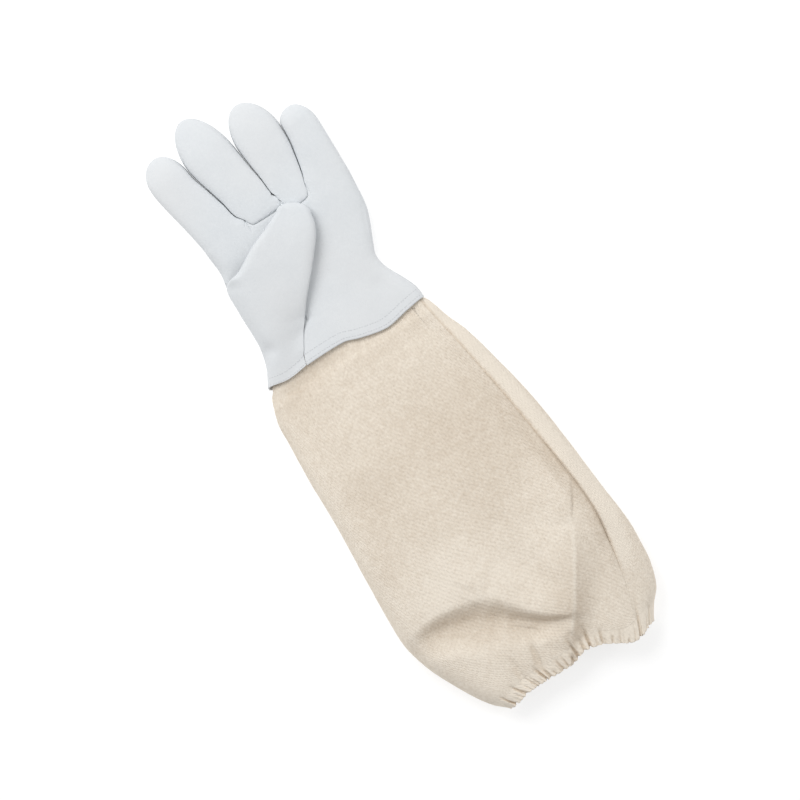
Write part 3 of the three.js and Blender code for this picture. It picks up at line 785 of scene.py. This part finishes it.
def node(tree, kind, settings=None, inputs=None, output=0):
    """Adds a node with its own settings, then the values or links of its sockets."""
    made = tree.nodes.new(kind)
    for name, value in (settings or {}).items():
        setattr(made, name, value)
    for name, value in (inputs or {}).items():
        if isinstance(value, Socket):
            tree.links.new(value.output, made.inputs[name])
        else:
            made.inputs[name].default_value = value
    return Socket(tree, made.outputs[output])


def new_material(name):
    made = bpy.data.materials.new(name)
    made.use_nodes = True
    return made, made.node_tree, made.node_tree.nodes["Principled BSDF"]


def plug(shader, name, value):
    value.tree.links.new(value.output, shader.inputs[name])


def object_place(tree):
    """Object coordinates, in which the noises of all finishes are laid out."""
    return node(tree, "ShaderNodeTexCoord", output=3)


def cloud(place, scale, detail=2.0):
    """Soft noise of one size at a place."""
    return node(place.tree, "ShaderNodeTexNoise", {}, {"Vector": place, "Scale": scale, "Detail": detail})


def threads(place, direction, scale, distortion):
    """Uneven parallel threads of the weave."""
    return node(place.tree, "ShaderNodeTexWave", {"bands_direction": direction}, {
        "Vector": place, "Scale": scale, "Distortion": distortion, "Detail": 2.0, "Detail Scale": 3.0,
    })


def bump(height, strength):
    inputs = {"Height": height, "Strength": strength, "Distance": 0.0006}
    return node(height.tree, "ShaderNodeBump", {}, inputs)


def blend_colour(share, first, second):
    """Mixes two colours or the outputs of other mixes."""
    start = first if isinstance(first, Socket) else (*first, 1)
    inputs = {"Factor": share, "A": start, "B": (*second, 1)}
    return node(share.tree, "ShaderNodeMix", {"data_type": "RGBA"}, inputs, output=2)


def leather_material():
    """Pale, matte grain leather: cool grey-white with faint darker patches, pores and soft creases."""
    made, tree, shader = new_material("pale_grain_leather")
    place = object_place(tree)
    patches = cloud(place, 38.0, 4.0)
    flecks = cloud(place, 420.0, 3.0)
    pores = node(tree, "ShaderNodeTexVoronoi", {}, {"Vector": place, "Scale": 1100.0})
    creases = cloud(place, 210.0, 5.0)
    broad = cloud(place, 13.0, 1.0)
    base = blend_colour(patches * 0.7 + flecks * 0.5 - 0.32, glove().leather_colour, glove().leather_shade)
    plug(shader, "Base Color", blend_colour(broad * 1.6 - 0.6, base, glove().leather_warm))
    plug(shader, "Roughness", flecks * 0.2 + 0.58)
    plug(shader, "Normal", bump(pores * 0.5 + creases * 0.9, 0.35))
    shader.inputs["Specular IOR Level"].default_value = 0.3
    return made


def canvas_material(name, shading_weight):
    """Brushed cotton canvas: a fine twill in its own weave direction, fuzz, and painted shade that browns its
    folds, gathers and seam and its side turned from the light.
    """
    made, tree, shader = new_material(name)
    weave_place = node(tree, "ShaderNodeUVMap", {"uv_map": "weave"})
    place = object_place(tree)
    warp = threads(weave_place, "DIAGONAL", 150.0, 2.5)
    weft = threads(weave_place, "X", 118.0, 2.2)
    fuzz = cloud(place, 520.0, 4.0)
    slubs = cloud(place, 160.0, 4.0)
    clouds = cloud(place, 14.0)
    painted_shading = node(tree, "ShaderNodeAttribute", {"attribute_name": "painted_shading"}, output=2)
    # The attribute lays painted shade and painted light over the weave's own random tone
    tone = fuzz + slubs * 0.5 + clouds * 0.7 - 0.97 + painted_shading * shading_weight
    plug(shader, "Base Color", blend_colour(tone, glove().canvas_colour, glove().canvas_weave_and_shade))
    plug(shader, "Roughness", fuzz * 0.1 + 0.85)
    plug(shader, "Normal", bump(warp * 0.6 + weft * 0.5 + fuzz * 1.6, 0.5))
    shader.inputs["Specular IOR Level"].default_value = 0.15
    return made


def thread_material():
    made, tree, shader = new_material("waxed_thread")
    twist = cloud(object_place(tree), 1800.0)
    shade = tuple(0.8 * value for value in glove().thread_colour)
    plug(shader, "Base Color", blend_colour(twist, glove().thread_colour, shade))
    plug(shader, "Roughness", twist * 0.2 + 0.5)
    return made


# Grey discs that paint the shade inside the needle holes
def hole_shade_material():
    made, tree, shader = new_material("painted_hole_shade")
    grain = cloud(object_place(tree), 900.0)
    plug(shader, "Base Color", blend_colour(grain, (0.46, 0.48, 0.50), (0.56, 0.58, 0.60)))
    shader.inputs["Roughness"].default_value = 0.9
    return made


def material(name):
    """A finish by name, made the first time that a piece asks for it."""
    found = bpy.data.materials.get(name)
    if found:
        return found
    makers = {
        "pale_grain_leather": leather_material,
        "brushed_canvas": lambda: canvas_material("brushed_canvas", 0.8),
        "gathered_canvas": lambda: canvas_material("gathered_canvas", 0.9),
        "waxed_thread": thread_material,
        "painted_hole_shade": hole_shade_material,
    }
    return makers[name]()


# Pieces


def mapped_grid(mesh, columns, rows, place, size):
    """Adds a grid to the mesh and moves each of its points; size is its width and length in metres."""
    grid = bmesh.ops.create_grid(mesh, x_segments=columns, y_segments=rows, size=0.5)["verts"]
    weave = mesh.loops.layers.uv.get("weave") or mesh.loops.layers.uv.new("weave")
    flat = {}
    for vert in grid:
        u, v = vert.co.x + 0.5, vert.co.y + 0.5
        flat[vert] = (u * size[0], v * size[1])
        vert.co = place(u, v) * MM
    for face in {face for vert in grid for face in vert.link_faces}:
        for loop in face.loops:
            loop[weave].uv = flat[loop.vert]


def finish_mesh(name, mesh, finish, facing=None):
    """Turns a bmesh into an object with welded seams and outward faces."""
    bmesh.ops.remove_doubles(mesh, verts=mesh.verts, dist=0.00002)
    mesh.normal_update()
    if facing is not None:
        total = sum((face.normal * face.calc_area() for face in mesh.faces), Vector())
        if total.dot(Vector(facing)) < 0:
            bmesh.ops.reverse_faces(mesh, faces=mesh.faces)
    data = bpy.data.meshes.new(name)
    mesh.to_mesh(data)
    mesh.free()
    data.shade_smooth()
    piece = bpy.data.objects.new(name, data)
    bpy.context.collection.objects.link(piece)
    piece.data.materials.append(material(finish))
    return piece


def lay(piece, node_name, wall):
    """Thickens a sheet, stands it in for its node and rides it on the glove."""
    solid = piece.modifiers.new("Wall", "SOLIDIFY")
    solid.thickness = wall
    solid.offset = -1
    solid.use_rim = True
    solid.use_even_offset = False
    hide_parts(node_name)
    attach(piece, "root")


def leather_piece(name, mesh, node_name, facing):
    piece = finish_mesh(name, mesh, "pale_grain_leather", facing)
    lay(piece, node_name, glove().leather_wall)


def canvas_piece(name, mesh, finish, node_name, wall):
    piece = finish_mesh(name, mesh, finish)
    turn_out(piece)
    write_painted_shading(piece)
    lay(piece, node_name, wall)


def hand_grid(mesh, strip, point):
    """One finger's strip of the hand, from the hem to the crotch line."""
    size = (STRIP_WIDTH, HAND_LENGTH * MM)
    mapped_grid(mesh, STRIP_COLUMNS, HAND_ROWS, lambda u, v: point(strip, u, v), size)


def finger_grid(mesh, strip, point, gap=0.0):
    """One finger from the crotch line to its tip, with a gap at its base seam."""

    def place(u, v):
        return point(strip, u, finger_station(strip, v)) + Vector((0, gap * (1 - v), 0))

    mapped_grid(mesh, STRIP_COLUMNS, FINGER_ROWS, place, (STRIP_WIDTH, FINGERS[strip][LENGTH] * MM))


class GLOVE_OT_leather_hand(bpy.types.Operator):
    """Makes the back and palm of the leather hand with their fingers"""

    bl_idname = "glove.leather_hand"
    bl_label = "Leather hand"

    def execute(self, context):
        back = bmesh.new()
        for strip in range(len(FINGERS)):
            hand_grid(back, strip, back_point)
            finger_grid(back, strip, finger_back_point)
        leather_piece("leather_back_skin", back, "leather_back", (0, 0, -1))

        palm = bmesh.new()
        for strip in range(len(FINGERS)):
            hand_grid(palm, strip, palm_point)
            if strip not in INSET_FINGERS:
                finger_grid(palm, strip, finger_front_point)
        leather_piece("leather_palm_skin", palm, "leather_palm", (0, 0, 1))

        for strip, name in zip(INSET_FINGERS, ("middle_finger", "ring_finger")):
            front = bmesh.new()
            finger_grid(front, strip, finger_front_point, BASE_GAP)
            leather_piece(f"{name}_skin", front, f"{name}_front", (0, 0, 1))
        return {"FINISHED"}


class GLOVE_OT_thumb(bpy.types.Operator):
    """Makes the thumb that is folded over the palm"""

    bl_idname = "glove.thumb"
    bl_label = "Thumb"

    def execute(self, context):
        def front_place(u, v):
            return thumb_upper_point(thumb_station(v, 0.0), u)

        def under_place(u, v):
            return thumb_under_point(thumb_station(v, THUMB_HEEL), u)

        front = bmesh.new()
        mapped_grid(front, 40, 150, front_place, (0.06, 0.15))
        leather_piece("thumb_front_skin", front, "thumb_front", (0, 0, 1))
        under = bmesh.new()
        mapped_grid(under, 30, 90, under_place, (0.05, 0.08))
        leather_piece("thumb_underside_skin", under, "thumb_underside", (0, 0, -1))
        return {"FINISHED"}


def flap_curl(along):
    """How much the free edge of the side seam stands up, along the middle of the sleeve."""
    return smoothstep(along, 0.42, 0.54) * (1 - smoothstep(along, 0.70, 0.78))


def fold_painted_shading(x, along):
    """Painted shade in the folds' hollows and beside a crisp ridge, and a painted highlight along the ridge
    itself.
    """
    total = 0.10 * max(0.0, -fold_lift(x, along))
    for line, _, _, _, crisp in FOLD_LINES:
        if crisp:
            distance, place, side = nearest_on(line, Vector((x, -along * SLEEVE_LENGTH)))
            shade = 0.0 if side > 0 else 0.26 * (1 - smoothstep(distance, 12, 34))
            total += math.sin(math.pi * place) ** 0.5 * (shade - 0.6 * math.exp(-((distance / 1.5) ** 2)))
    return total


def seam_painted_shading(off, along):
    """Painted shadow under and left of the seam's edge, and painted light to its right."""
    shade = (0.35 + flap_curl(along)) * math.exp(-(((off - 0.4) / 1.1) ** 2))
    if off < 0:
        shade += (0.2 + 0.3 * flap_curl(along)) * smoothstep(along, 0.25, 0.45) * math.exp(-((off / 9) ** 2))
    else:
        shade -= 0.60 * smoothstep(off, 1, 4) * (1 - smoothstep(off, 8, 18))
    return shade * (1 - smoothstep(along, 0.78, 0.86))


def painted_shading_at(x, y, upper, lit):
    """Painted shading of the cloth at a place: painted shade in its gathers, fold hollows, by its seam and
    where it turns from the light, painted light on ridges and right of the seam, paler over the cuff band,
    darker along the middle than at the sides.
    """
    along = (HEM_LINE - y) / SLEEVE_LENGTH
    along -= cuff_drop(x) * smoothstep(along, 0.8, CUFF_LINE) / SLEEVE_LENGTH
    left, right = sleeve_sides(along)
    above = (CUFF_LINE - along) * SLEEVE_LENGTH
    inner = smoothstep(min(x - left, right - x), 4, 22)
    middle = 0.30 * (1 - smoothstep(along, 0.5, 0.66)) + 0.14 * math.exp(-(((along - 0.36) / 0.14) ** 2))
    # Painted shade in the gathers' depths, and paler over the cuff band
    value = gather(x, above, upper) / 3.0 - 0.30 * (1 - smoothstep(above, 5, 16))
    # Darker along the middle than at the sides, and painted shade where the cloth turns from the light
    value += middle * mix(0.2, 1, inner) + 0.8 * inner * (LIGHT.z - lit)
    if upper:
        value += fold_painted_shading(x, along) + seam_painted_shading(x - SLEEVE_WIDTH * read(SEAM_LINE, 1, along), along)
    return clamp(value, -0.5, 1)


def write_painted_shading(piece):
    """Keeps the painted shading of each point of the cloth, for its colour."""
    layer = piece.data.attributes.new("painted_shading", "FLOAT", "POINT")
    for i, vert in enumerate(piece.data.vertices):
        x, y, z = vert.co / MM
        layer.data[i].value = painted_shading_at(x, y, z > SEAM_HEIGHT, vert.normal.dot(LIGHT))


def turn_out(piece):
    """Turns the rolled cloth's faces outwards."""
    votes = 0
    for face in piece.data.polygons:
        away = face.center - Vector((0, face.center.y, SLEEVE_TOP / 2 * MM))
        votes += 1 if face.normal.dot(away) > 0 else -1
    if votes < 0:
        piece.data.flip_normals()


def cloth_share(share, under, over):
    """Gives more of the cloth's columns to its visible upper side."""
    finer = 1.4
    start = (0.5 - under) / (over - under)
    end = start + 0.5 / (over - under)
    first, last = start * finer, 1 - (1 - end) * finer
    if share < first:
        return share / finer
    if share > last:
        return 1 - (1 - share) / finer
    return mix(start, end, (share - first) / (last - first))


class GLOVE_OT_sleeve(bpy.types.Operator):
    """Makes the canvas sleeve, one cloth rolled into a tube and lapped at its side seam"""

    bl_idname = "glove.sleeve"
    bl_label = "Sleeve"

    def execute(self, context):
        top_along = -HEM_LAP / SLEEVE_LENGTH
        end = CUFF_LINE - CASING / SLEEVE_LENGTH
        wall = glove().canvas_wall / MM
        spans = {}

        def seam_turns(along):
            """Where round the sleeve its cloth starts, under the seam, and ends, over it."""
            if along not in spans:
                left, right = sleeve_sides(along)
                seam = SLEEVE_WIDTH * read(SEAM_LINE, 1, along)
                over = unspread((seam - left) / (right - left)) / 2
                under = unspread((seam - SEAM_LAP - left) / (right - left)) / 2
                spans[along] = (under, 1 + over)
            return spans[along]

        def place(u, v):
            along = mix(end, top_along, v**1.35)
            under, over = seam_turns(along)
            point = sleeve_point(mix(under, over, cloth_share(u, under, over)) % 1, along)
            raised = (0.8 * wall + 2.0 * flap_curl(along)) * (1 - smoothstep(along, 0.78, 0.84))
            point.z += smoothstep(u, 0.95, 0.99) * (0.12 + raised)
            return point

        flat = (0.4, 0.3)
        mesh = bmesh.new()
        mapped_grid(mesh, 250, 176, place, (flat[0], (end - top_along) * SLEEVE_LENGTH * MM))
        canvas_piece("canvas_sleeve_cloth", mesh, "brushed_canvas", "canvas_sleeve",
                     glove().canvas_wall)
        return {"FINISHED"}


class GLOVE_OT_cuff(bpy.types.Operator):
    """Makes the gathered band with the elastic at the sleeve's mouth"""

    bl_idname = "glove.cuff"
    bl_label = "Cuff"

    def execute(self, context):
        tuck = 1.5

        def place(u, v):
            along = mix(CUFF_LINE, CUFF_LINE - (CASING + tuck) / SLEEVE_LENGTH, v)
            point = sleeve_point(u % 1, along)
            point.z -= 0.4 * smoothstep(v, 1 - tuck / CASING, 1) * (1 if u <= 0.5 else -1)
            return point

        flat = (0.4, 0.014)
        mesh = bmesh.new()
        mapped_grid(mesh, 700, 18, place, (flat[0], CASING * MM))
        canvas_piece("elastic_cuff_band", mesh, "gathered_canvas", "elastic_cuff",
                     glove().cuff_wall)
        return {"FINISHED"}


class GLOVE_OT_stitches(bpy.types.Operator):
    """Sews the two rows of stitches along the leather's hem"""

    bl_idname = "glove.stitches"
    bl_label = "Stitches"

    def execute(self, context):
        leather = self.surface("leather_palm_skin", "thumb_front_skin")
        thread = bmesh.new()
        hole_shades = bmesh.new()
        pitch = glove().stitch_pitch / MM
        for above in STITCH_ROWS:
            x = STITCH_ENDS[0] * PALM_WIDTH
            while x < STITCH_ENDS[1] * PALM_WIDTH:
                self.stitch(thread, hole_shades, leather, x, above, pitch)
                x += pitch
        pieces = (("hem_stitches", thread, "waxed_thread"), ("hem_needle_holes", hole_shades, "painted_hole_shade"))
        for name, mesh, finish in pieces:
            piece = finish_mesh(name, mesh, finish)
            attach(piece, "root")
        return {"FINISHED"}

    @staticmethod
    def surface(*names):
        """Downward lookup on the outer sides of finished pieces."""
        joined = bmesh.new()
        for name in names:
            joined.from_mesh(bpy.data.objects[name].data)
        tree = BVHTree.FromBMesh(joined)
        joined.free()
        return tree

    @staticmethod
    def on_surface(tree, x, above):
        """The leather's point and normal at a place across the hem and a height above its edge."""
        y = HEM_LINE + hem_rise(x) + above
        hit, normal, _, _ = tree.ray_cast(Vector((x, y, 60)) * MM, Vector((0, 0, -1)))
        return hit, normal

    def stitch(self, thread, hole_shades, leather, x, above, pitch):
        """One stitch that takes up half the pitch, with a grey disc of painted shade for the needle hole at
        either end.
        """
        start, normal = self.on_surface(leather, x, above)
        end, _ = self.on_surface(leather, x + pitch * 0.5, above)
        if start is None or end is None:
            return
        run = end - start
        if run.length > pitch * 1.5 * MM:
            return
        turn = run.to_track_quat("X", "Z").to_matrix().to_4x4()
        self.bead(thread, 2, (start + end) / 2 + normal * 0.00006, turn, (run.length / 2, 0.00028, 0.00012))
        for spot in (start, end):
            self.bead(hole_shades, 1, spot + normal * 0.00002, turn, (0.00034, 0.00034, 0.00010))

    @staticmethod
    def bead(mesh, subdivisions, spot, turn, radii):
        matrix = Matrix.Translation(spot) @ turn @ Matrix.Diagonal((*radii, 1))
        bmesh.ops.create_icosphere(mesh, subdivisions=subdivisions, radius=1, matrix=matrix)


# Camera, floor and light


# The photo's 800 pixels show 0.74 mm each, from straight above and turned
VIEW_TURN = math.radians(-33)
VIEW_CENTRE = Vector((1.54, -8.77, 10.0)) * MM
VIEW_HEIGHT = 2.6
VIEW_WIDTH = 800 * 0.74 * MM
SENSOR_WIDTH = 36


class GLOVE_OT_stage(bpy.types.Operator):
    """Sets the camera straight above the glove, the pale floor and the soft studio light"""

    bl_idname = "glove.stage"
    bl_label = "Stage"

    def execute(self, context):
        scene = context.scene
        lens = bpy.data.cameras.new("camera")
        lens.sensor_width = SENSOR_WIDTH
        lens.lens = SENSOR_WIDTH * VIEW_HEIGHT / VIEW_WIDTH
        camera = bpy.data.objects.new("camera", lens)
        camera.location = VIEW_CENTRE + Vector((0, 0, VIEW_HEIGHT))
        camera.rotation_euler = (0, 0, VIEW_TURN)
        scene.collection.objects.link(camera)
        scene.camera = camera

        sheet = bmesh.new()
        bmesh.ops.create_grid(sheet, x_segments=1, y_segments=1, size=4)
        data = bpy.data.meshes.new("floor")
        sheet.to_mesh(data)
        sheet.free()
        floor = bpy.data.objects.new("floor", data)
        scene.collection.objects.link(floor)
        floor.data.materials.append(self.floor_material())

        world = bpy.data.worlds.new("studio")
        world.use_nodes = True
        background = world.node_tree.nodes["Background"]
        background.inputs["Color"].default_value = (1, 1, 1, 1)
        background.inputs["Strength"].default_value = 0.50
        scene.world = world
        self.softbox("key_light", (-0.9, 0.9, 1.5), 1.1, 20)
        self.softbox("fill_light", (1.3, 0.3, 1.2), 1.2, 5)
        scene.view_settings.view_transform = "Standard"
        return {"FINISHED"}

    @staticmethod
    def floor_material():
        made, tree, shader = new_material("white_sheet")
        tone = cloud(object_place(tree), 2.0)
        plug(shader, "Base Color", blend_colour(tone, (0.45, 0.45, 0.45), (0.44, 0.44, 0.44)))
        shader.inputs["Emission Color"].default_value = (1, 1, 1, 1)
        shader.inputs["Emission Strength"].default_value = 0.66
        shader.inputs["Roughness"].default_value = 1.0
        shader.inputs["Specular IOR Level"].default_value = 0.0
        return made

    @staticmethod
    def softbox(name, place, size, power):
        """A square light in the camera's own directions: right, up and towards it."""
        light = bpy.data.lights.new(name, "AREA")
        light.shape = "SQUARE"
        light.size = size
        light.energy = power
        box = bpy.data.objects.new(name, light)
        turned = Matrix.Rotation(VIEW_TURN, 4, "Z") @ Vector(place)
        box.location = turned
        box.rotation_euler = (-turned).to_track_quat("-Z", "Y").to_euler()
        bpy.context.scene.collection.objects.link(box)


class GLOVE_PT_panel(bpy.types.Panel):
    """Lists the glove's sizes and colours and the operators that make its pieces"""

    bl_label = "Beekeeping Glove"
    bl_idname = "GLOVE_PT_panel"
    bl_space_type = "VIEW_3D"
    bl_region_type = "UI"
    bl_category = "Glove"

    def draw(self, context):
        for name in GloveSettings.__annotations__:
            self.layout.prop(context.scene.glove, name)
        for operator in OPERATORS:
            self.layout.operator(operator.bl_idname)


OPERATORS = (
    GLOVE_OT_stage,
    GLOVE_OT_leather_hand,
    GLOVE_OT_thumb,
    GLOVE_OT_sleeve,
    GLOVE_OT_cuff,
    GLOVE_OT_stitches,
)
CLASSES = (GloveSettings, *OPERATORS, GLOVE_PT_panel)


def register():
    for cls in CLASSES:
        bpy.utils.register_class(cls)
    bpy.types.Scene.glove = bpy.props.PointerProperty(type=GloveSettings)


def unregister():
    del bpy.types.Scene.glove
    for cls in reversed(CLASSES):
        bpy.utils.unregister_class(cls)


def main():
    register()
    bpy.ops.glove.stage()
    bpy.ops.glove.leather_hand()
    bpy.ops.glove.thumb()
    bpy.ops.glove.sleeve()
    bpy.ops.glove.cuff()
    bpy.ops.glove.stitches()


if __name__ == "__main__":
    main()
